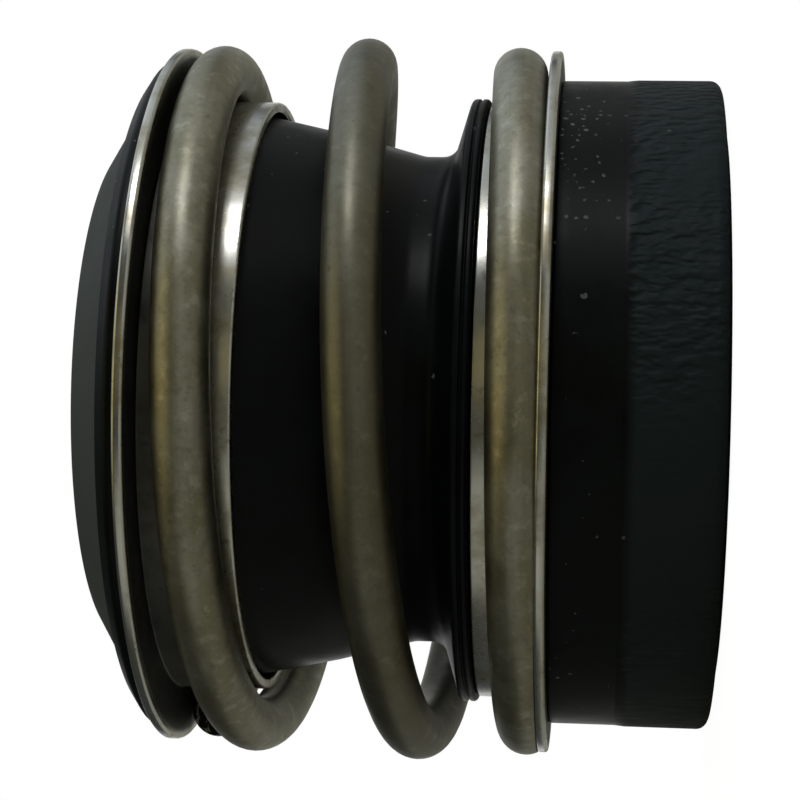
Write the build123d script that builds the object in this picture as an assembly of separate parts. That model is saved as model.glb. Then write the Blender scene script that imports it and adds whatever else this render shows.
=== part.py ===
from build123d import *

import math
import os

# Rubber bellows mechanical seal, rotating unit, in millimetres.
# The unit stands on its sealing face: the face lies at z = 0, the shaft axis is Z, and the
# tail that grips the shaft is at the top. "Head" is the end with the seal ring.

# Shaft and the clearances round it
SHAFT_DIAMETER = 20.0
RING_SHAFT_CLEARANCE = 0.8
NECK_SHAFT_CLEARANCE = 0.4
FIT_GAP = 0.05
EDGE_ROUNDING = 0.1

# Seal ring
RING_WALL = 3.0
RING_LENGTH = 4.2
RING_STAND_OUT = 0.2
RING_CHAMFER = 0.3

# Rubber head that holds the seal ring
HEAD_WALL = 1.75
HEAD_LENGTH = 7.5
HEAD_CORNER_RADIUS = 0.5
HEAD_BAND_LENGTH = 3.9
HEAD_BAND_STEP = 0.05
HEAD_BAND_RAMP = 0.5
HEAD_WEB_THICKNESS = 2.4
HEAD_WEB_RELIEF = 0.3

# Rubber fold and bead under the head collar
FOLD_WALL = 1.4
FOLD_ROUNDING = 0.5
FOLD_ROOF_SLOPE = 1.0
BEAD_OVERHANG = 0.25
BEAD_HEIGHT = 0.75
BEAD_RADIUS = 0.35
FLANK_HEIGHT = 0.85
FOOT_RADIUS = 0.9

# Rubber neck, thicker towards the tail
NECK_WALL = 1.45
NECK_STRAIGHT = 1.5
NECK_SHOULDER_WALL = 2.45
NECK_SHOULDER_PLACE = 0.6
NECK_TAIL_WALL = 3.2
NECK_ROUNDING = 6.0

# Rubber tail that grips the shaft
TAIL_WALL = 3.85
GRIP_LENGTH = 7.5
GRIP_RAMP = 0.8
TAIL_SWELL_HEIGHT = 0.9
LIP_OVERHANG = 2.55
LIP_HEIGHT = 1.05
LIP_WALL = 0.45
LIP_RADIUS = 0.35
CONE_HEIGHT = 1.9
CONE_TOP_WALL = 1.9
CONE_BASE_INSET = 1.15
TAIL_EDGE_RADIUS = 0.3

# Pressed sheet collars: a cylinder turned out into a flange
SHEET = 0.5
BEND_RADIUS = 0.1
SHEET_EDGE_RADIUS = 0.15
FLANGE_OUTSTAND = 2.55
HEAD_COLLAR_LENGTH = 3.4
TAIL_COLLAR_LENGTH = 4.7

# Coil spring between the two flanges
WIRE_DIAMETER = 2.6
SPRING_CLEARANCE = 0.1
SPRING_LENGTH = 17.35
COIL_TURNS = 3.35
HEAD_CLOSED_PITCH = 1.5
TAIL_CLOSED_PITCH = 2.8
HEAD_TURN_GAP = 0.1
TAIL_TURN_GAP = 1.15
HEAD_STEADY_TURNS = 0.8
TAIL_STEADY_TURNS = 0.65
SWELL_TURNS = 0.5
COIL_BARREL = 0.4
COIL_LEAN = 0.25
COIL_WAVE = 0.23
HEAD_TIP_ANGLE = 54.0
PATH_POINTS_PER_TURN = 12

# Radii worked out from the shaft outwards
shaft_radius = SHAFT_DIAMETER / 2
ring_bore_radius = shaft_radius + RING_SHAFT_CLEARANCE
ring_outer_radius = ring_bore_radius + RING_WALL
pocket_radius = ring_outer_radius + FIT_GAP
head_band_radius = pocket_radius + HEAD_WALL
head_radius = head_band_radius - HEAD_BAND_STEP
neck_bore_radius = shaft_radius + NECK_SHAFT_CLEARANCE
plug_radius = shaft_radius + TAIL_WALL
collar_bore_radius = plug_radius + FIT_GAP
collar_radius = collar_bore_radius + SHEET
flange_radius = collar_radius + FLANGE_OUTSTAND
bead_radius = collar_radius + BEAD_OVERHANG
lip_radius = plug_radius + LIP_OVERHANG
cone_base_radius = lip_radius - CONE_BASE_INSET
cone_top_radius = shaft_radius + CONE_TOP_WALL
wire_radius = WIRE_DIAMETER / 2
coil_radius = collar_radius + SPRING_CLEARANCE + wire_radius

# Heights worked out from the sealing face upwards
head_front = RING_STAND_OUT
ring_back = RING_LENGTH
head_back = head_front + HEAD_LENGTH
head_seat = head_back + SHEET
head_rim = head_back + HEAD_COLLAR_LENGTH
bead_start = head_rim + FIT_GAP
bead_end = bead_start + BEAD_HEIGHT
neck_start = bead_end + FLANK_HEIGHT
tail_seat = head_seat + SPRING_LENGTH
tail_back = tail_seat + SHEET
tail_rim = tail_back - TAIL_COLLAR_LENGTH
neck_end = tail_rim
lip_top = tail_back + LIP_HEIGHT
tail_end = lip_top + CONE_HEIGHT


def turned(points, radii):
    """A ring turned about the shaft axis from its section, with each corner rounded."""
    with BuildPart() as ring:
        with BuildSketch(Plane.XZ):
            with BuildLine():
                FilletPolyline(*points, radius=radii, close=True)
            make_face()
        revolve(axis=Axis.Z)
    return ring.part


def seal_ring():
    """Plain hard ring with its sealing face at z = 0 and broken edges."""
    section = [
        (ring_bore_radius, 0),
        (ring_outer_radius, 0),
        (ring_outer_radius, ring_back),
        (ring_bore_radius, ring_back),
    ]
    with BuildPart() as ring:
        with BuildSketch(Plane.XZ):
            with BuildLine():
                Polyline(*section, close=True)
            make_face()
        revolve(axis=Axis.Z)
        chamfer(ring.edges().filter_by(GeomType.CIRCLE), RING_CHAMFER)
    return ring.part


def bellows():
    """One moulding: head with the ring pocket, fold, bead, neck, gripping tail and cone."""
    neck_length = neck_end - neck_start
    root_radius = BEND_RADIUS + SHEET - 2 * FIT_GAP
    fold_radius = plug_radius - FOLD_WALL
    fold_floor = ring_back + HEAD_WEB_THICKNESS
    web_bore_radius = ring_bore_radius + HEAD_WEB_RELIEF
    fold_roof = head_rim - FOLD_ROOF_SLOPE
    grip_start = tail_end - GRIP_LENGTH
    corners = [
        # head face, wide band and back of the head
        (pocket_radius, head_front, EDGE_ROUNDING),
        (head_band_radius, head_front, HEAD_CORNER_RADIUS),
        (head_band_radius, head_front + HEAD_BAND_LENGTH, HEAD_BAND_RAMP),
        (head_radius, head_front + HEAD_BAND_LENGTH + HEAD_BAND_RAMP, HEAD_BAND_RAMP),
        (head_radius, head_back, SHEET_EDGE_RADIUS),
        # plug inside the head collar, bead over its rim and flank down to the neck
        (plug_radius, head_back, root_radius),
        (plug_radius, bead_start, FIT_GAP),
        (bead_radius, bead_start, BEAD_RADIUS),
        (bead_radius, bead_end, BEAD_RADIUS),
        (neck_bore_radius + NECK_WALL, neck_start, FOOT_RADIUS),
        # neck, which thickens in two gentle slopes
        (neck_bore_radius + NECK_WALL, neck_start + NECK_STRAIGHT, NECK_STRAIGHT),
        (
            neck_bore_radius + NECK_SHOULDER_WALL,
            neck_start + NECK_SHOULDER_PLACE * neck_length,
            NECK_ROUNDING,
        ),
        (neck_bore_radius + NECK_TAIL_WALL, neck_end, TAIL_SWELL_HEIGHT),
        # plug inside the tail collar and lip over its flange
        (plug_radius, neck_end + TAIL_SWELL_HEIGHT, TAIL_SWELL_HEIGHT),
        (plug_radius, tail_back, root_radius),
        (lip_radius, tail_back, EDGE_ROUNDING),
        (lip_radius, tail_back + LIP_WALL, LIP_RADIUS),
        (cone_base_radius, lip_top, LIP_RADIUS),
        (cone_top_radius, tail_end, TAIL_EDGE_RADIUS),
        # bore: grip on the shaft, clear neck, fold, web behind the ring and ring pocket
        (shaft_radius, tail_end, TAIL_EDGE_RADIUS),
        (shaft_radius, grip_start, GRIP_RAMP),
        (neck_bore_radius, grip_start - GRIP_RAMP, GRIP_RAMP),
        (neck_bore_radius, head_rim, FOLD_ROUNDING),
        (fold_radius, fold_roof, FOLD_ROUNDING),
        (fold_radius, fold_floor, FOLD_ROUNDING),
        (web_bore_radius, fold_floor, FOLD_ROUNDING),
        (web_bore_radius, ring_back, EDGE_ROUNDING),
        (pocket_radius, ring_back, EDGE_ROUNDING),
    ]
    return turned([(r, z) for r, z, _ in corners], [rounding for _, _, rounding in corners])


def collar(back, length, direction):
    """Pressed ring: flange with its back at a height, cylinder running towards the other collar."""
    seat = back + direction * SHEET
    rim = back + direction * length
    section = [
        (collar_bore_radius, back),
        (flange_radius, back),
        (flange_radius, seat),
        (collar_radius, seat),
        (collar_radius, rim),
        (collar_bore_radius, rim),
    ]
    roundings = [
        BEND_RADIUS + SHEET,
        SHEET_EDGE_RADIUS,
        SHEET_EDGE_RADIUS,
        BEND_RADIUS,
        SHEET_EDGE_RADIUS,
        SHEET_EDGE_RADIUS,
    ]
    return turned(section, roundings)


def eased(x):
    """Smooth step from 0 to 1."""
    x = min(max(x, 0.0), 1.0)
    return x * x * (3 - 2 * x)


def eased_sum(x):
    """Area under the smooth step from 0 to x."""
    inside = min(max(x, 0.0), 1.0)
    return inside**3 - inside**4 / 2 + max(x - 1, 0.0)


def coil_height(turn):
    """Wire centre above the head seat, with a closed turn at each end and open turns between."""
    head_rise = WIRE_DIAMETER + HEAD_TURN_GAP
    tail_rise = WIRE_DIAMETER + TAIL_TURN_GAP
    open_turns = COIL_TURNS - 2
    open_pitch = (SPRING_LENGTH - head_rise - tail_rise) / open_turns
    opening = 2 * (head_rise - HEAD_CLOSED_PITCH) / (open_pitch - HEAD_CLOSED_PITCH)
    closing = 2 * (tail_rise - TAIL_CLOSED_PITCH) / (open_pitch - TAIL_CLOSED_PITCH)
    opened = opening * eased_sum((turn - 1 + opening) / opening)
    closed = closing * eased_sum((turn - COIL_TURNS + 1) / closing)
    height = HEAD_CLOSED_PITCH * turn
    height += (open_pitch - HEAD_CLOSED_PITCH) * opened
    height -= (open_pitch - TAIL_CLOSED_PITCH) * closed
    return height


def coil_point(turn):
    """Point of the wire's centre line; the open turns swell, lean and wave a little."""
    angle = math.radians(HEAD_TIP_ANGLE) + math.tau * turn
    swelling = eased((turn - HEAD_STEADY_TURNS) / SWELL_TURNS)
    openness = swelling * eased((COIL_TURNS - TAIL_STEADY_TURNS - turn) / SWELL_TURNS)
    radius = coil_radius + COIL_BARREL * openness
    bias = COIL_LEAN * math.cos(angle) + COIL_WAVE * math.cos(2 * angle)
    height = head_seat + coil_height(turn) - bias * openness
    return Vector(radius * math.cos(angle), radius * math.sin(angle), height)


def spring():
    """Round wire coiled right-handed, with both end turns closed and ground flat."""
    steps = round(COIL_TURNS * PATH_POINTS_PER_TURN)
    points = [coil_point(COIL_TURNS * step / steps) for step in range(steps + 1)]
    with BuildPart() as coil:
        with BuildLine() as path:
            Spline(*points)
        with BuildSketch(Plane(origin=path.line @ 0, z_dir=path.line % 0)):
            Circle(wire_radius)
        sweep(path=path.line, is_frenet=True)
        with Locations((0, 0, (head_seat + tail_seat) / 2)):
            Cylinder(2 * flange_radius, SPRING_LENGTH, mode=Mode.INTERSECT)
    return coil.part


os.makedirs("parts", exist_ok=True)
export_step(seal_ring(), "parts/seal_ring.step")
export_step(bellows(), "parts/bellows.step")
export_step(collar(head_back, HEAD_COLLAR_LENGTH, 1), "parts/head_collar.step")
export_step(collar(tail_back, TAIL_COLLAR_LENGTH, -1), "parts/tail_collar.step")
export_step(spring(), "parts/spring.step")
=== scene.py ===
import math

import bmesh
import bpy
import numpy as np
from mathutils import Matrix, Vector


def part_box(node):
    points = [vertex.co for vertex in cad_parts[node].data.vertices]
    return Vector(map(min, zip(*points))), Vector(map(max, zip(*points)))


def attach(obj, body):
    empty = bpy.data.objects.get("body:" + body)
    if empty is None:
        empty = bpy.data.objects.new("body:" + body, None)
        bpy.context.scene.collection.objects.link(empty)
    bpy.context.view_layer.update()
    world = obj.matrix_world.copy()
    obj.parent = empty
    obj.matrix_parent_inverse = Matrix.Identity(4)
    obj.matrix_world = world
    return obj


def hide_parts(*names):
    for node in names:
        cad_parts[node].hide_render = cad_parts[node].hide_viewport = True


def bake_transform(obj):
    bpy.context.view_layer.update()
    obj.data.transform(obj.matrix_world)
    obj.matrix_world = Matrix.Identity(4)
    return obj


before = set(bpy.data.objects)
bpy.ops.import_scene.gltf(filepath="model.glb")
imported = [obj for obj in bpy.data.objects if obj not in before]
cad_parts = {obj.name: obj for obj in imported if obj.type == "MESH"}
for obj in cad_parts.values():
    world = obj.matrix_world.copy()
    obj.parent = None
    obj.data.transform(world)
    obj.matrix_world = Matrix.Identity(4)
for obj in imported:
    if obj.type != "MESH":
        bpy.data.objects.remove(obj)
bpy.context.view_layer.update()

# A rubber bellows mechanical seal. The sealing face rests at z = 0 and the shaft axis is Z.
# Sizes are in millimetres and become metres by MM where they enter a mesh or a finish.

MM = 0.001

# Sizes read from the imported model
_, ring_high = (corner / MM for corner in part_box("seal_ring"))
bellows_low, bellows_high = (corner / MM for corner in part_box("bellows"))
head_low, head_high = (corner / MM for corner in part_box("head_collar"))
tail_low, tail_high = (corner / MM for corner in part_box("tail_collar"))

# Collar sheet and bends
SHEET = 0.5
BEND_RADIUS = 0.1
SHEET_EDGE = 0.15
COLLAR_RADIUS = 14.4
FIT_GAP = 0.05

# Rubber, from the shaft outwards
SHAFT_RADIUS = 10.0
NECK_BORE = 10.4
WEB_BORE = 11.1
FOLD_BORE = 12.45
RUBBER_EDGE = 0.1
HEAD_BAND_RADIUS = 15.6
HEAD_RADIUS = 15.55
HEAD_BAND_TOP = 4.1
HEAD_BAND_RAMP = 0.5
HEAD_CORNER = 0.5
BEAD_RADIUS = 14.65
BEAD_HEIGHT = 0.75
BEAD_ROUND = 0.35
CREST_GROOVE_WIDTH = 0.1
CREST_GROOVE_DEPTH = 0.12
NECK_RADIUS = 11.85
NECK_START = 12.75
NECK_STRAIGHT = 1.5
NECK_SHOULDER_RADIUS = 12.85
NECK_SHOULDER_PLACE = 0.6
NECK_TAIL_RADIUS = 13.6
NECK_ROUND = 6.0
FOOT_ROUND = 0.9
SWELL_HEIGHT = 0.9
LIP_WALL = 0.45
LIP_ROUND = 0.35
LIP_CREST_INSET = 0.8
LIP_CREST_HEIGHT = 1.0
LIP_CREST_ROUND = 0.12
CONE_INSET = 1.4
CONE_TOP_RADIUS = 11.9
TAIL_EDGE = 0.3
GRIP_START = 21.5
GRIP_RAMP = 0.8
WEB_TOP = 6.6
FOLD_ROOF = 10.1
FOLD_ROUND = 0.5

# Seal ring
RING_BORE = 10.8
RING_CHAMFER = 0.3

# Spring wire
WIRE_RADIUS = 1.3
COIL_RADIUS = 15.8
COIL_BARREL = 0.4
COIL_TURNS = 3.35
COIL_LEAN = 0.25
COIL_WAVE = 0.23
HEAD_STEADY_TURNS = 0.8
TAIL_STEADY_TURNS = 0.65
SWELL_TURNS = 0.5
HEAD_CLOSED_PITCH = 1.5
TAIL_CLOSED_PITCH = 2.8
HEAD_TURN_RISE = 2.7
TAIL_TURN_RISE = 3.92
TAIL_TURN_SETTLE = 0.3
TIP_ROUND_LENGTH = 0.45
TIP_ROUND_SHARE = 0.14
HEAD_TIP_ANGLE = math.radians(54.0)

# How finely surfaces are divided
AROUND = 300
ARC_STEPS = 6
LONGEST_STEP = 0.6
WIRE_SIDES = 36
WIRE_RINGS_PER_TURN = 150
SHARP_ANGLE = math.radians(40.0)
CUT_TOLERANCE = 1e-7

# Rubber finish: where it changes, up the axis and out along X, then its colours and marks
BAND_FADE = (4.6, 3.9)
CONE_FADE = (27.0, 27.3)
DUST_NEAR_COLLAR = (4.2, 7.4)
DUST_PAST_COLLAR = (7.8, 7.9)
DUST_SIDE = (4.0, 13.0)
SPECK_RAGGEDNESS = 0.7
SPECK_EDGE_FINENESS = 3
DEEP_BLACK = (0.0010, 0.0020, 0.0022)
WORN_BLACK = (0.0030, 0.0058, 0.0065)
BAND_BLACK = (0.0120, 0.0195, 0.0235)
CONE_GREY = (0.068, 0.080, 0.085)
DUST_GREY = (0.16, 0.175, 0.165)
RUBBER_GLOSS = 0.11
BAND_MATT = 0.16
CONE_MATT = 0.26
DUST_MATT = 0.4
RUBBER_GRAIN_DEPTH = 0.01
DENT_DEPTH = 0.13
DENT_STRETCH = (1, 1, 0.45)

# Collar finish: where painted shade darkens the corners, up the axis and out from it, then its
# colours
TAIL_CORNER_SHADE = (22.3, 23.6)
HEAD_CORNER_SHADE = (9.3, 8.4)
CORNER_SHADE_RIM = (16.75, 16.4)
CORNER_SHADE_RAGGEDNESS = 1.2
COLLAR_STEEL = (0.52, 0.515, 0.47)
COLLAR_STAIN = (0.30, 0.275, 0.20)
COLLAR_SPOT = (0.12, 0.11, 0.08)
# Dark colour painted into the collar corners as shade
PAINTED_SHADE_BLACK = (0.030, 0.030, 0.028)
CORNER_SHADE_COVER = 0.86
CORNER_SHADE_MATT = 0.25
RUBBING_DEPTH = 0.004
RUBBING_STRETCH = (0.03, 0.03, 1)

# Wire finish: where it changes, by length from the head tip and back from the tail tip, then its
# colours and marks
DULL_STARTS = (105, 135)
DULL_ENDS = (235, 200)
# The last millimetres to the tail tip: a torn dark end, and painted shade on the wire's side beside
# it
TORN_AND_SHADED_END = (4.5, 1.5)
STREAK_STRETCH = 0.07
RUBBED_SHINE = 0.06
WIRE_PALE = (0.34, 0.335, 0.28)
WIRE_OLIVE = (0.24, 0.225, 0.155)
WIRE_STREAK = (0.13, 0.12, 0.085)
WIRE_MOTTLE = (0.11, 0.105, 0.08)
WIRE_MARK = (0.07, 0.065, 0.05)
WIRE_RUBBED = (0.47, 0.46, 0.38)
WIRE_TARNISH = (0.13, 0.125, 0.10)
WIRE_DULL = (0.095, 0.09, 0.065)
TORN_DARK_AND_SHADE = (0.012, 0.012, 0.011)
TORN_LIGHT = (0.30, 0.28, 0.24)
STREAK_DEPTH = 0.012
MARK_DEPTH = 0.015
TEAR_DEPTH = 0.25

# Seal ring finish
CARBIDE_DARK = (0.055, 0.057, 0.062)
CARBIDE_LIGHT = (0.085, 0.087, 0.092)
LAPPING_DEPTH = 0.004

# Camera, in the object's own millimetres and degrees, with its clipping in metres
CAMERA_DISTANCE = 107.15
CAMERA_HEIGHT = 5.37
CAMERA_YAW = 5.35
CAMERA_PITCH = -0.04
CAMERA_ROLL = 1.25
CAMERA_LENS = 98.26
SENSOR_WIDTH = 36
CLIP_START = 0.005
CLIP_END = 10

# Studio, in metres and watts, with the height that the lamp aims at in millimetres
KEY_DIRECTION = Vector((0.885, -0.43, 0.16))
KEY_DISTANCE = 0.40
KEY_SIZE = 0.10
KEY_POWER = 0.30
KEY_AIM_HEIGHT = 15
FLOOR_SIZE = 2.0
FLOOR_GLOW = 1.09
FLOOR_GLOW_SHARE = 0.9
FLOOR_COLOUR = (0.86, 0.86, 0.86, 1)
FLOOR_ROUGHNESS = 0.9

# Room round the part: a dim shade, and softly edged patches of light as (direction, degrees from
# their middle to where they start to fade and where they end, colour). The last is the backdrop.
ROOM_SHADE = (0.050, 0.055, 0.053)
ROOM_PATCHES = [
    ((0.12, -0.42, 0.90), 8, 38, (0.74, 0.63, 0.30)),
    ((0.22, -0.97, 0.05), 4, 20, (0.24, 0.21, 0.10)),
    ((-0.76, -0.64, -0.06), 12, 38, (0.44, 0.44, 0.38)),
    ((1.0, 0.08, 0.06), 20, 50, (0.44, 0.47, 0.50)),
    ((0.66, 0.32, 0.68), 15, 46, (0.78, 0.85, 0.90)),
    ((0.0, 1.0, 0.0), 6, 34, (1.0, 1.0, 1.0)),
]


# ---------------------------------------------------------------- surfaces


def rounded_outline(corners):
    """Closed outline of (radius, height, rounding) corners.

    Each corner becomes an arc about the point on its bisector that lies rounding / sin(half angle)
    from it, between the two points rounding / tan(half angle) along its sides. The straight runs
    between arcs are then divided evenly.
    """
    spots = np.array([(r, z) for r, z, _ in corners], float)
    bends = np.array([bend for _, _, bend in corners], float)[:, None]
    back = np.roll(spots, 1, 0) - spots
    ahead = np.roll(spots, -1, 0) - spots
    back /= np.linalg.norm(back, axis=1, keepdims=True)
    ahead /= np.linalg.norm(ahead, axis=1, keepdims=True)
    half = np.arccos(np.clip((back * ahead).sum(1, keepdims=True), -1, 1)) / 2
    middle = back + ahead
    middle /= np.linalg.norm(middle, axis=1, keepdims=True)
    centre = spots + middle * bends / np.sin(half)
    start = spots + back * bends / np.tan(half) - centre
    end = spots + ahead * bends / np.tan(half) - centre
    first = np.arctan2(start[:, 1], start[:, 0])
    sweep = np.arctan2(end[:, 1], end[:, 0]) - first
    sweep = (sweep + np.pi) % (2 * np.pi) - np.pi
    steps = np.linspace(0, 1, ARC_STEPS + 1)
    angles = first[:, None] + sweep[:, None] * steps[None, :]
    arcs = np.stack([np.cos(angles), np.sin(angles)], 2) * bends[:, :, None] + centre[:, None, :]
    points = arcs.reshape(-1, 2)
    following = np.roll(points, -1, 0)
    runs = [
        point + (after - point) * np.arange(count)[:, None] / count
        for point, after in zip(points, following)
        for count in [max(1, math.ceil(np.linalg.norm(after - point) / LONGEST_STEP))]
    ]
    return np.concatenate(runs)


def make_mesh(name, points, quads, caps=()):
    """Mesh object at the origin from points in millimetres and arrays of faces."""
    mesh = bpy.data.meshes.new(name)
    faces = [tuple(face) for face in quads.tolist()] + [tuple(cap) for cap in caps]
    mesh.from_pydata((points * MM).tolist(), [], faces)
    mesh.validate()
    piece = bpy.data.objects.new(name, mesh)
    bpy.context.scene.collection.objects.link(piece)
    mesh.shade_smooth()
    return piece


def grid_quads(rows, columns, close_rows):
    """Quads of a grid that closes across its columns, and across its rows where asked."""
    down = np.arange(rows if close_rows else rows - 1)[:, None]
    across = np.arange(columns)[None, :]
    below = (down + 1) % rows
    beside = (across + 1) % columns
    quads = np.stack(
        [
            down * columns + across,
            down * columns + beside,
            below * columns + beside,
            below * columns + across,
        ],
        2,
    )
    return quads.reshape(-1, 4)


def turned(name, corners):
    """Ring swept by turning a closed outline about Z: (r cos a, r sin a, z) over angle a."""
    outline = rounded_outline(corners)
    ahead = np.roll(outline, -1, 0)
    area = (outline[:, 0] * ahead[:, 1] - ahead[:, 0] * outline[:, 1]).sum()
    if area < 0:
        outline = outline[::-1]
    angle = np.linspace(0, 2 * np.pi, AROUND, endpoint=False)
    r, z = outline[:, :1], outline[:, 1:]
    points = np.stack([r * np.cos(angle), r * np.sin(angle), z + 0 * angle], 2)
    return make_mesh(name, points.reshape(-1, 3), grid_quads(len(outline), AROUND, True))


# ---------------------------------------------------------------- pieces


def collar_corners(back, rim, outwards):
    """Section of a pressed collar: flange at its back, cylinder to its rim."""
    seat = back + outwards * SHEET
    flange = float(head_high.x)
    bore = COLLAR_RADIUS - SHEET
    return [
        (bore, back, BEND_RADIUS + SHEET),
        (flange, back, SHEET_EDGE),
        (flange, seat, SHEET_EDGE),
        (COLLAR_RADIUS, seat, BEND_RADIUS),
        (COLLAR_RADIUS, rim, SHEET_EDGE),
        (bore, rim, SHEET_EDGE),
    ]


def bellows_corners():
    """Section of the rubber: head block, bead with its groove, neck, tail, lip and cone."""
    face = float(bellows_low.z)
    end = float(bellows_high.z)
    head_back = float(head_low.z)
    tail_back = float(tail_high.z)
    plug = COLLAR_RADIUS - SHEET - FIT_GAP
    root = BEND_RADIUS + SHEET - 2 * FIT_GAP
    pocket = float(ring_high.x) + FIT_GAP
    ring_back = float(ring_high.z)
    bead = float(head_high.z) + FIT_GAP
    crest = bead + BEAD_HEIGHT / 2
    neck_end = float(tail_low.z)
    shoulder = NECK_START + NECK_SHOULDER_PLACE * (neck_end - NECK_START)
    lip = float(bellows_high.x)
    return [
        (pocket, face, RUBBER_EDGE),
        (HEAD_BAND_RADIUS, face, HEAD_CORNER),
        (HEAD_BAND_RADIUS, HEAD_BAND_TOP, HEAD_BAND_RAMP),
        (HEAD_RADIUS, HEAD_BAND_TOP + HEAD_BAND_RAMP, HEAD_BAND_RAMP),
        (HEAD_RADIUS, head_back, SHEET_EDGE),
        (plug, head_back, root),
        (plug, bead, FIT_GAP),
        (BEAD_RADIUS, bead, BEAD_ROUND / 2),
        (BEAD_RADIUS, crest - CREST_GROOVE_WIDTH, CREST_GROOVE_WIDTH / 2),
        (BEAD_RADIUS - CREST_GROOVE_DEPTH, crest, CREST_GROOVE_WIDTH / 3),
        (BEAD_RADIUS, crest + CREST_GROOVE_WIDTH, CREST_GROOVE_WIDTH / 2),
        (BEAD_RADIUS, bead + BEAD_HEIGHT, BEAD_ROUND / 2),
        (NECK_RADIUS, NECK_START, FOOT_ROUND),
        (NECK_RADIUS, NECK_START + NECK_STRAIGHT, NECK_STRAIGHT),
        (NECK_SHOULDER_RADIUS, shoulder, NECK_ROUND),
        (NECK_TAIL_RADIUS, neck_end, SWELL_HEIGHT),
        (plug, neck_end + SWELL_HEIGHT, SWELL_HEIGHT),
        (plug, tail_back, root),
        (lip, tail_back, RUBBER_EDGE),
        (lip, tail_back + LIP_WALL, LIP_ROUND),
        (lip - LIP_CREST_INSET, tail_back + LIP_CREST_HEIGHT, LIP_CREST_ROUND),
        (lip - CONE_INSET, tail_back + LIP_CREST_HEIGHT, LIP_CREST_ROUND),
        (CONE_TOP_RADIUS, end, TAIL_EDGE),
        (SHAFT_RADIUS, end, TAIL_EDGE),
        (SHAFT_RADIUS, GRIP_START, GRIP_RAMP),
        (NECK_BORE, GRIP_START - GRIP_RAMP, GRIP_RAMP),
        (NECK_BORE, float(head_high.z), FOLD_ROUND),
        (FOLD_BORE, FOLD_ROOF, FOLD_ROUND),
        (FOLD_BORE, WEB_TOP, FOLD_ROUND),
        (WEB_BORE, WEB_TOP, FOLD_ROUND),
        (WEB_BORE, ring_back, RUBBER_EDGE),
        (pocket, ring_back, RUBBER_EDGE),
    ]


def ring_corners():
    """Section of the seal ring, with its edges broken."""
    outer = float(ring_high.x)
    back = float(ring_high.z)
    return [
        (RING_BORE, 0, RING_CHAMFER),
        (outer, 0, RING_CHAMFER),
        (outer, back, RING_CHAMFER),
        (RING_BORE, back, RING_CHAMFER),
    ]


def eased(x):
    """Smooth step: 3 x squared less 2 x cubed, held between 0 and 1."""
    x = np.clip(x, 0, 1)
    return x * x * (3 - 2 * x)


def eased_sum(x):
    """Area under the smooth step from 0 to x: x cubed less half of x to the fourth, up to 1, and
    then one more for each one."""
    inside = np.clip(x, 0, 1)
    return inside**3 - inside**4 / 2 + np.maximum(x - 1, 0)


def wire_line(turn):
    """Centre line of the wire over turns from the head tip.

    The height rises by the closed pitch in each end turn and by the open pitch between them, with
    a smooth step from one pitch to the other. The open turns stand a little wider, and their height
    leans by a cosine of the angle and waves by a cosine of twice the angle. Last, the room left
    below the tail flange becomes half of room + root(room squared + settle squared), so that the
    last turn lies softly against the flange and never passes it.
    """
    seat = float(head_low.z) + SHEET
    span = float(tail_high.z) - SHEET - seat
    open_pitch = (span - HEAD_TURN_RISE - TAIL_TURN_RISE) / (COIL_TURNS - 2)
    opening = 2 * (HEAD_TURN_RISE - HEAD_CLOSED_PITCH) / (open_pitch - HEAD_CLOSED_PITCH)
    closing = 2 * (TAIL_TURN_RISE - TAIL_CLOSED_PITCH) / (open_pitch - TAIL_CLOSED_PITCH)
    opened = opening * eased_sum((turn - 1 + opening) / opening)
    closed = closing * eased_sum((turn - COIL_TURNS + 1) / closing)
    height = seat + HEAD_CLOSED_PITCH * turn
    height = height + (open_pitch - HEAD_CLOSED_PITCH) * opened
    height = height - (open_pitch - TAIL_CLOSED_PITCH) * closed
    openness = eased((turn - HEAD_STEADY_TURNS) / SWELL_TURNS)
    openness = openness * eased((COIL_TURNS - TAIL_STEADY_TURNS - turn) / SWELL_TURNS)
    angle = HEAD_TIP_ANGLE + 2 * np.pi * turn
    radius = COIL_RADIUS + COIL_BARREL * openness
    height = height - openness * (COIL_LEAN * np.cos(angle) + COIL_WAVE * np.cos(2 * angle))
    rest = seat + span - WIRE_RADIUS
    room = rest - height
    height = rest - (room + np.sqrt(room**2 + TAIL_TURN_SETTLE**2)) / 2
    return np.stack([radius * np.cos(angle), radius * np.sin(angle), height], 1)


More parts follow.
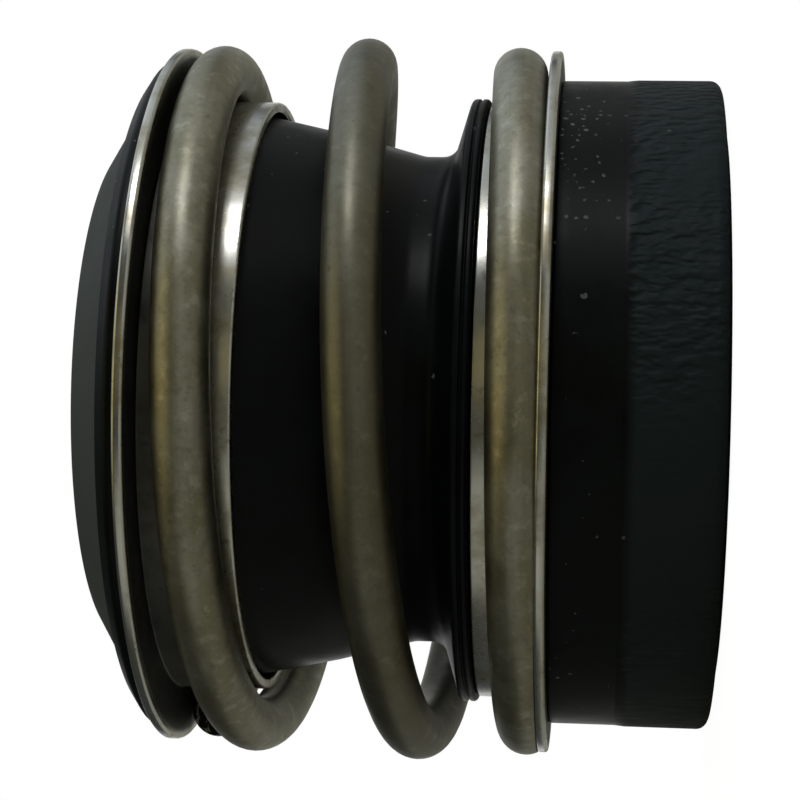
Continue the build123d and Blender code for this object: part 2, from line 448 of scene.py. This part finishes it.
def spring_mesh():
    """Tube of circles square to the wire's centre line, ground flat at the head flange.

    Each circle's points are centre + radius (cos b out + sin b up), over the angle b, where out is
    the radial direction made square to the wire, and up is square to both. The radius shrinks by
    the square of how far a circle is into the rounded tail tip.
    """
    rings = round(COIL_TURNS * WIRE_RINGS_PER_TURN)
    turn = np.linspace(0, COIL_TURNS, rings)
    centre = wire_line(turn)
    along = np.gradient(centre, axis=0)
    along /= np.linalg.norm(along, axis=1, keepdims=True)
    out = centre * (1, 1, 0)
    out -= along * (out * along).sum(1, keepdims=True)
    out /= np.linalg.norm(out, axis=1, keepdims=True)
    up = np.cross(along, out)
    b = np.linspace(0, 2 * np.pi, WIRE_SIDES, endpoint=False)[None, :, None]
    length = np.concatenate([[0], np.cumsum(np.linalg.norm(np.diff(centre, axis=0), axis=1))])
    into_tip = np.clip(1 - (length[-1] - length) / TIP_ROUND_LENGTH, 0, 1)
    radius = (WIRE_RADIUS * (1 - TIP_ROUND_SHARE * into_tip**2))[:, None, None]
    points = centre[:, None] + radius * (np.cos(b) * out[:, None] + np.sin(b) * up[:, None])
    quads = grid_quads(rings, WIRE_SIDES, False)[:, ::-1]
    first = list(range(WIRE_SIDES))
    last = [(rings - 1) * WIRE_SIDES + side for side in reversed(first)]
    piece = make_mesh("spring_wire", points.reshape(-1, 3), quads, [first, last])
    mesh = piece.data
    store(mesh, "wire_height", np.repeat(centre[:, 2], WIRE_SIDES) * MM)
    store(mesh, "wire_length", np.repeat(length, WIRE_SIDES) * MM)
    store(mesh, "wire_left", np.repeat(length[-1] - length, WIRE_SIDES) * MM)
    store(mesh, "wire_out", np.tile(np.cos(b).ravel(), rings) * WIRE_RADIUS * MM)
    store(mesh, "wire_up", np.tile(np.sin(b).ravel(), rings) * WIRE_RADIUS * MM)
    grind(mesh, float(head_low.z) + SHEET, -1)
    mesh.set_sharp_from_angle(angle=SHARP_ANGLE)
    return piece


def store(mesh, name, values):
    """Keeps one number for each point of a mesh."""
    layer = mesh.attributes.new(name, "FLOAT", "POINT")
    layer.data.foreach_set("value", values.astype(np.float32))


def grind(mesh, height, side):
    """Cuts a mesh flat at a height, drops what stands past it and closes the cut."""
    work = bmesh.new()
    work.from_mesh(mesh)
    parts = work.verts[:] + work.edges[:] + work.faces[:]
    cut = bmesh.ops.bisect_plane(
        work,
        geom=parts,
        dist=CUT_TOLERANCE,
        plane_co=(0, 0, height * MM),
        plane_no=(0, 0, side),
        clear_outer=True,
    )
    edges = [item for item in cut["geom_cut"] if isinstance(item, bmesh.types.BMEdge)]
    bmesh.ops.holes_fill(work, edges=edges, sides=0)
    bmesh.ops.recalc_face_normals(work, faces=work.faces[:])
    work.to_mesh(mesh)
    work.free()


def follow_wire(piece):
    """Moves the spring's points to the heights of the wire's centre, bakes the spring's place into
    its mesh, and then puts the points back as they were."""
    mesh = piece.data
    count = len(mesh.vertices)
    shape = np.empty(count * 3, np.float32)
    mesh.vertices.foreach_get("co", shape)
    heights = np.empty(count, np.float32)
    mesh.attributes["wire_height"].data.foreach_get("value", heights)
    line = shape.reshape(-1, 3).copy()
    line[:, 2] = heights
    mesh.vertices.foreach_set("co", line.ravel())
    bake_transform(piece)
    mesh.vertices.foreach_set("co", shape)
    mesh.update()


# ---------------------------------------------------------------- materials


class Finish:
    """A material under construction: its nodes, links and shader."""

    def __init__(self, name):
        self.material = bpy.data.materials.new(name)
        self.material.use_nodes = True
        self.tree = self.material.node_tree
        self.shader = self.tree.nodes["Principled BSDF"]
        self.place = self.add("ShaderNodeTexCoord").outputs["Object"]

    @classmethod
    def of_world(cls, world):
        """The same helpers on the empty node tree of a world."""
        finish = cls.__new__(cls)
        world.use_nodes = True
        finish.tree = world.node_tree
        finish.tree.nodes.clear()
        return finish

    def add(self, kind, **settings):
        """New node with its settings."""
        node = self.tree.nodes.new(kind)
        for name, value in settings.items():
            setattr(node, name, value)
        return node

    def link(self, source, target):
        """Wire from an output to an input."""
        self.tree.links.new(source, target)

    def stretched(self, scale):
        """Object place multiplied along X, Y and Z."""
        node = self.add("ShaderNodeMapping")
        node.inputs["Scale"].default_value = scale
        self.link(self.place, node.inputs["Vector"])
        return node.outputs["Vector"]

    def noise(self, place, scale, detail, roughness=0.6):
        """Smooth noise from 0 to 1, in waves about 1 / scale metres long."""
        node = self.add("ShaderNodeTexNoise")
        node.inputs["Scale"].default_value = scale
        node.inputs["Detail"].default_value = detail
        node.inputs["Roughness"].default_value = roughness
        self.link(place, node.inputs["Vector"])
        return node.outputs["Fac"]

    def ramp(self, value, low, high, start=0.0, end=1.0):
        """Value carried from the range low..high to start..end, smoothly and held inside."""
        node = self.add("ShaderNodeMapRange", interpolation_type="SMOOTHSTEP")
        names = ("From Min", "From Max", "To Min", "To Max")
        for name, number in zip(names, (low, high, start, end)):
            node.inputs[name].default_value = number
        self.link(value, node.inputs["Value"])
        return node.outputs["Result"]

    def along(self, value, reach, start=0.0, end=1.0):
        """Ramp over a range of places, given in millimetres."""
        low, high = reach
        return self.ramp(value, low * MM, high * MM, start, end)

    def maths(self, operation, first, second=0.0):
        """Values or numbers joined by an operation, which may need the first of them alone."""
        node = self.add("ShaderNodeMath", operation=operation)
        for socket, value in zip(node.inputs, (first, second)):
            if isinstance(value, (int, float)):
                socket.default_value = value
            else:
                self.link(value, socket)
        return node.outputs["Value"]

    def times(self, first, second):
        """Product of two values."""
        return self.maths("MULTIPLY", first, second)

    def plus(self, first, second):
        """Sum of two values."""
        return self.maths("ADD", first, second)

    def over(self, base, mask, colour, cover):
        """Colour laid over a base where a mask says, covering a share of it."""
        return self.mixed(self.times(mask, cover), base, colour)

    def mixed(self, share, first, second):
        """Colour between two colours or colour outputs."""
        node = self.add("ShaderNodeMix", data_type="RGBA")
        self.link(share, node.inputs["Factor"])
        for name, colour in (("A", first), ("B", second)):
            socket = [s for s in node.inputs if s.name == name and s.type == "RGBA"][0]
            if isinstance(colour, tuple):
                socket.default_value = (*colour, 1.0)
            else:
                self.link(colour, socket)
        return [s for s in node.outputs if s.type == "RGBA"][0]

    def bump(self, height, depth, strength=1.0, under=None):
        """Surface normal raised by a height pattern, its depth in millimetres."""
        node = self.add("ShaderNodeBump")
        node.inputs["Distance"].default_value = depth * MM
        node.inputs["Strength"].default_value = strength
        self.link(height, node.inputs["Height"])
        if under is not None:
            self.link(under, node.inputs["Normal"])
        return node.outputs["Normal"]

    def attribute(self, name):
        """Number kept on each point of the mesh."""
        return self.add("ShaderNodeAttribute", attribute_name=name).outputs["Fac"]

    def specks(self, scale, rarity, width, share):
        """Ragged spots of different sizes at scattered points, kept on a share of them.

        Voronoi cells about 1 / scale metres wide give the points, and fine noise added to the
        place makes the spots' edges ragged.
        """
        wander = self.add("ShaderNodeTexNoise")
        wander.inputs["Scale"].default_value = SPECK_EDGE_FINENESS * scale
        self.link(self.place, wander.inputs["Vector"])
        ragged = self.add("ShaderNodeVectorMath", operation="MULTIPLY_ADD")
        ragged.inputs[1].default_value = (SPECK_RAGGEDNESS / scale,) * 3
        self.link(wander.outputs["Color"], ragged.inputs[0])
        self.link(self.place, ragged.inputs[2])
        spots = self.add("ShaderNodeTexVoronoi", feature="F1")
        spots.inputs["Scale"].default_value = scale
        self.link(ragged.outputs["Vector"], spots.inputs["Vector"])
        chosen = self.split(spots.outputs["Color"])
        size = self.ramp(chosen[0], rarity, 1.0, 0.0, width)
        dot = self.maths("LESS_THAN", spots.outputs["Distance"], size)
        return self.times(dot, self.maths("LESS_THAN", chosen[1], share))

    def dust_share(self, height):
        """Share of the specks that stay: most by the head collar and towards +X."""
        near = self.along(height, DUST_NEAR_COLLAR, start=0.01, end=0.90)
        past = self.along(height, DUST_PAST_COLLAR, start=1.0, end=0.05)
        side = self.along(self.split(self.place)[0], DUST_SIDE, start=0.07, end=1.0)
        return self.times(self.maths("MINIMUM", near, past), side)

    def split(self, place):
        """X, Y and Z of a place."""
        node = self.add("ShaderNodeSeparateXYZ")
        self.link(place, node.inputs["Vector"])
        return node.outputs


def rubber_finish():
    """Black moulded rubber: smooth on the neck and behind the head band, matt on the head band
    and on the tail cone, with small dents in patches of the band and fine specks of dust beside
    the head collar."""
    f = Finish("rubber")
    height = f.split(f.place)[2]
    band = f.along(height, BAND_FADE)
    cone = f.along(height, CONE_FADE)
    cloud = f.noise(f.place, scale=260, detail=3)
    grain = f.noise(f.place, scale=5200, detail=4)
    patch = f.noise(f.place, scale=75, detail=2)
    dents = f.noise(f.stretched(DENT_STRETCH), scale=2600, detail=1, roughness=0.4)
    base = f.mixed(f.ramp(cloud, 0.35, 0.7), DEEP_BLACK, WORN_BLACK)
    base = f.mixed(band, base, BAND_BLACK)
    base = f.mixed(cone, base, CONE_GREY)

    share = f.dust_share(height)
    fine_dust = f.specks(3600, rarity=0.10, width=0.34, share=share)
    coarse_dust = f.specks(1700, rarity=0.55, width=0.20, share=share)
    drifted = f.ramp(cloud, 0.35, 0.60, start=0.35, end=1.0)
    dust = f.times(f.maths("MAXIMUM", fine_dust, coarse_dust), drifted)
    f.link(f.mixed(dust, base, DUST_GREY), f.shader.inputs["Base Color"])

    matt = f.plus(f.times(band, BAND_MATT), f.times(cone, CONE_MATT))
    rough = f.plus(f.ramp(cloud, 0.3, 0.7, start=0.34, end=0.46), matt)
    f.link(f.plus(rough, f.times(dust, DUST_MATT)), f.shader.inputs["Roughness"])
    f.shader.inputs["Specular IOR Level"].default_value = RUBBER_GLOSS

    dented = f.times(band, f.ramp(patch, 0.44, 0.58, start=0.10, end=1.0))
    pits = f.times(f.ramp(dents, 0.32, 0.72), dented)
    fine = f.bump(grain, RUBBER_GRAIN_DEPTH, strength=0.5)
    f.link(f.bump(pits, -DENT_DEPTH, strength=0.9, under=fine), f.shader.inputs["Normal"])
    return f.material


def collar_finish():
    """Polished pressed steel with fine rubbing marks round it, stains, and painted shade, dark and
    matt, in the corner between tube and flange."""
    f = Finish("collar_steel")
    x, y, height = f.split(f.place)[:3]
    rings = f.noise(f.stretched(RUBBING_STRETCH), scale=9000, detail=3)
    cloud = f.noise(f.place, scale=420, detail=4)
    blot = f.noise(f.place, scale=1300, detail=4, roughness=0.65)
    colour = f.mixed(f.ramp(cloud, 0.42, 0.72), COLLAR_STEEL, COLLAR_STAIN)
    colour = f.over(colour, f.ramp(blot, 0.60, 0.72), COLLAR_SPOT, cover=0.55)

    radius = f.maths("SQRT", f.plus(f.times(x, x), f.times(y, y)))
    # Painted shade: the corners between tube and flange are darkened in colour, and made matt, to
    # stand for the shade that falls there.
    ragged = f.plus(height, f.times(f.maths("SUBTRACT", cloud, 0.5), CORNER_SHADE_RAGGEDNESS * MM))
    corners = f.maths("MAXIMUM", f.along(ragged, TAIL_CORNER_SHADE), f.along(ragged, HEAD_CORNER_SHADE))
    corner_shade = f.times(f.times(corners, f.along(radius, CORNER_SHADE_RIM)), CORNER_SHADE_COVER)
    f.link(f.mixed(corner_shade, colour, PAINTED_SHADE_BLACK), f.shader.inputs["Base Color"])
    f.shader.inputs["Metallic"].default_value = 1.0
    rough = f.ramp(cloud, 0.3, 0.75, start=0.20, end=0.34)
    f.link(f.plus(rough, f.times(corner_shade, CORNER_SHADE_MATT)), f.shader.inputs["Roughness"])
    f.link(f.bump(rings, RUBBING_DEPTH, strength=0.5), f.shader.inputs["Normal"])
    return f.material


def wire_finish():
    """Dull drawn spring wire: olive grey, in soft streaks along its length, mottled, rubbed pale in
    blotches, duller in its middle turns, and dark and torn where it was cut off, with that darkness
    spread a few millimetres back along the wire's side as painted shade."""
    f = Finish("spring_steel")
    length = f.attribute("wire_length")
    joined = f.add("ShaderNodeCombineXYZ")
    f.link(f.times(length, STREAK_STRETCH), joined.inputs["X"])
    f.link(f.attribute("wire_out"), joined.inputs["Y"])
    f.link(f.attribute("wire_up"), joined.inputs["Z"])
    wire_place = joined.outputs["Vector"]
    streak = f.noise(wire_place, scale=1500, detail=3, roughness=0.6)
    broad = f.noise(wire_place, scale=560, detail=2, roughness=0.5)
    cloud = f.noise(f.place, scale=300, detail=5, roughness=0.65)
    mottle = f.noise(f.place, scale=3200, detail=3, roughness=0.6)
    marks = f.noise(f.place, scale=800, detail=6, roughness=0.75)
    blotch = f.noise(f.place, scale=1250, detail=5, roughness=0.7)
    torn = f.noise(f.place, scale=2200, detail=5, roughness=0.7)
    rubbed = f.ramp(blotch, 0.52, 0.68)
    dull = f.times(f.along(length, DULL_STARTS), f.along(length, DULL_ENDS))
    # Torn end, and painted shade on the wire's side near the tail tip
    cut = f.along(f.attribute("wire_left"), TORN_AND_SHADED_END)

    colour = f.mixed(f.ramp(f.plus(broad, cloud), 0.80, 1.20), WIRE_OLIVE, WIRE_PALE)
    colour = f.over(colour, f.ramp(streak, 0.45, 0.75), WIRE_STREAK, cover=0.35)
    colour = f.over(colour, f.ramp(mottle, 0.5, 0.75), WIRE_MOTTLE, cover=0.22)
    colour = f.over(colour, f.ramp(marks, 0.60, 0.72), WIRE_MARK, cover=0.45)
    colour = f.over(colour, rubbed, WIRE_RUBBED, cover=0.40)
    colour = f.over(colour, f.ramp(blotch, 0.46, 0.34), WIRE_TARNISH, cover=0.35)
    colour = f.over(colour, dull, WIRE_DULL, cover=0.62)
    edge = f.mixed(f.ramp(torn, 0.52, 0.62), TORN_DARK_AND_SHADE, TORN_LIGHT)
    f.link(f.mixed(cut, colour, edge), f.shader.inputs["Base Color"])
    f.shader.inputs["Metallic"].default_value = 1.0
    rough = f.plus(f.ramp(cloud, 0.3, 0.7, start=0.41, end=0.50), f.times(rubbed, -RUBBED_SHINE))
    f.link(rough, f.shader.inputs["Roughness"])

    fine = f.bump(streak, STREAK_DEPTH, strength=0.5)
    fine = f.bump(marks, MARK_DEPTH, strength=0.5, under=fine)
    f.link(f.bump(f.times(torn, cut), TEAR_DEPTH, under=fine), f.shader.inputs["Normal"])
    return f.material


def ring_finish():
    """Dark hard carbide: lapped to a soft shine, with a faint grain."""
    f = Finish("seal_ring_carbide")
    grain = f.noise(f.place, scale=6000, detail=3)
    cloud = f.noise(f.place, scale=500, detail=3)
    f.link(f.mixed(cloud, CARBIDE_DARK, CARBIDE_LIGHT), f.shader.inputs["Base Color"])
    f.link(f.ramp(cloud, 0.3, 0.7, start=0.18, end=0.30), f.shader.inputs["Roughness"])
    f.link(f.bump(grain, LAPPING_DEPTH, strength=0.4), f.shader.inputs["Normal"])
    return f.material


# ---------------------------------------------------------------- studio


def studio_floor():
    """Pale floor that keeps a soft shadow and looks white to the camera."""
    edge = FLOOR_SIZE / 2
    corners = [(-edge, -edge, 0), (edge, -edge, 0), (edge, edge, 0), (-edge, edge, 0)]
    mesh = bpy.data.meshes.new("studio_floor")
    mesh.from_pydata(corners, [], [(0, 1, 2, 3)])
    floor = bpy.data.objects.new("studio_floor", mesh)
    bpy.context.scene.collection.objects.link(floor)
    f = Finish("pale_floor")
    f.shader.inputs["Base Color"].default_value = FLOOR_COLOUR
    f.shader.inputs["Roughness"].default_value = FLOOR_ROUGHNESS
    glow = f.add("ShaderNodeEmission")
    glow.inputs["Strength"].default_value = FLOOR_GLOW
    path = f.add("ShaderNodeLightPath")
    join = f.add("ShaderNodeMixShader")
    out = f.tree.nodes["Material Output"]
    f.link(f.times(path.outputs["Is Camera Ray"], FLOOR_GLOW_SHARE), join.inputs["Fac"])
    f.link(f.shader.outputs["BSDF"], join.inputs[1])
    f.link(glow.outputs["Emission"], join.inputs[2])
    f.link(join.outputs["Shader"], out.inputs["Surface"])
    mesh.materials.append(f.material)


def studio_world():
    """Dim room with patches of soft light, the last of which is the white backdrop.

    The room is plain white to the camera, and the backdrop also where metal mirrors it.
    """
    world = bpy.data.worlds.new("studio")
    bpy.context.scene.world = world
    f = Finish.of_world(world)
    direction = f.add("ShaderNodeTexCoord").outputs["Generated"]
    colour = ROOM_SHADE
    for towards, full, edge, light in ROOM_PATCHES:
        facing = f.add("ShaderNodeVectorMath", operation="DOT_PRODUCT")
        f.link(direction, facing.inputs[0])
        facing.inputs[1].default_value = Vector(towards).normalized()
        near, far = (math.cos(math.radians(angle)) for angle in (full, edge))
        patch = f.ramp(facing.outputs["Value"], far, near)
        colour = f.mixed(patch, colour, light)
    backdrop = patch
    room = f.add("ShaderNodeBackground")
    f.link(colour, room.inputs["Color"])
    white = f.add("ShaderNodeBackground")
    white.inputs["Color"].default_value = (1, 1, 1, 1)
    path = f.add("ShaderNodeLightPath").outputs
    mirrored = f.maths("MAXIMUM", path["Is Glossy Ray"], path["Is Transmission Ray"])
    shown = f.maths("MAXIMUM", path["Is Camera Ray"], f.times(mirrored, backdrop))
    join = f.add("ShaderNodeMixShader")
    f.link(shown, join.inputs["Fac"])
    f.link(room.outputs["Background"], join.inputs[1])
    f.link(white.outputs["Background"], join.inputs[2])
    f.link(join.outputs["Shader"], f.add("ShaderNodeOutputWorld").inputs["Surface"])


def key_light():
    """Soft square lamp on the +X side, a little towards the camera and a little up."""
    lamp = bpy.data.lights.new("key", "AREA")
    lamp.size = KEY_SIZE
    lamp.energy = KEY_POWER
    light = bpy.data.objects.new("key", lamp)
    aim = Vector((0, 0, KEY_AIM_HEIGHT * MM))
    light.location = aim + KEY_DIRECTION.normalized() * KEY_DISTANCE
    light.rotation_euler = (aim - light.location).to_track_quat("-Z", "Y").to_euler()
    bpy.context.scene.collection.objects.link(light)


def camera():
    """Long lens looking along +Y with X up, turned by yaw, pitch and roll about its own axes."""
    lens = bpy.data.cameras.new("camera")
    lens.lens = CAMERA_LENS
    lens.sensor_width = SENSOR_WIDTH
    lens.clip_start = CLIP_START
    lens.clip_end = CLIP_END
    eye = bpy.data.objects.new("camera", lens)
    level = Matrix(((0, 1, 0), (0, 0, -1), (-1, 0, 0)))
    yaw = Matrix.Rotation(math.radians(CAMERA_YAW), 3, "Y")
    pitch = Matrix.Rotation(math.radians(CAMERA_PITCH), 3, "X")
    roll = Matrix.Rotation(math.radians(CAMERA_ROLL), 3, "Z")
    turn = (level @ yaw @ pitch @ roll).to_4x4()
    spot = Vector((0, -CAMERA_DISTANCE, CAMERA_HEIGHT)) * MM
    eye.matrix_world = Matrix.Translation(spot) @ turn
    bpy.context.scene.collection.objects.link(eye)
    bpy.context.scene.camera = eye


# ---------------------------------------------------------------- assembly


def dress(piece, finish, node):
    """Gives a piece its finish and hides the imported part that it stands for."""
    piece.data.materials.append(finish)
    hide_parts(node)


head_collar = turned("head_collar_sheet", collar_corners(float(head_low.z), float(head_high.z), 1))
tail_collar = turned("tail_collar_sheet", collar_corners(float(tail_high.z), float(tail_low.z), -1))
seal_ring = turned("seal_ring_lapped", ring_corners())
bellows = turned("bellows_rubber", bellows_corners())
spring = spring_mesh()

steel = collar_finish()
dress(head_collar, steel, "head_collar")
dress(tail_collar, steel, "tail_collar")
dress(seal_ring, ring_finish(), "seal_ring")
dress(bellows, rubber_finish(), "bellows")
dress(spring, wire_finish(), "spring")

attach(head_collar, "seal_head")
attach(seal_ring, "seal_head")
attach(tail_collar, "drive_end")
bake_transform(bellows)
follow_wire(spring)

studio_floor()
studio_world()
key_light()
camera()
bpy.context.scene.view_settings.view_transform = "Standard"
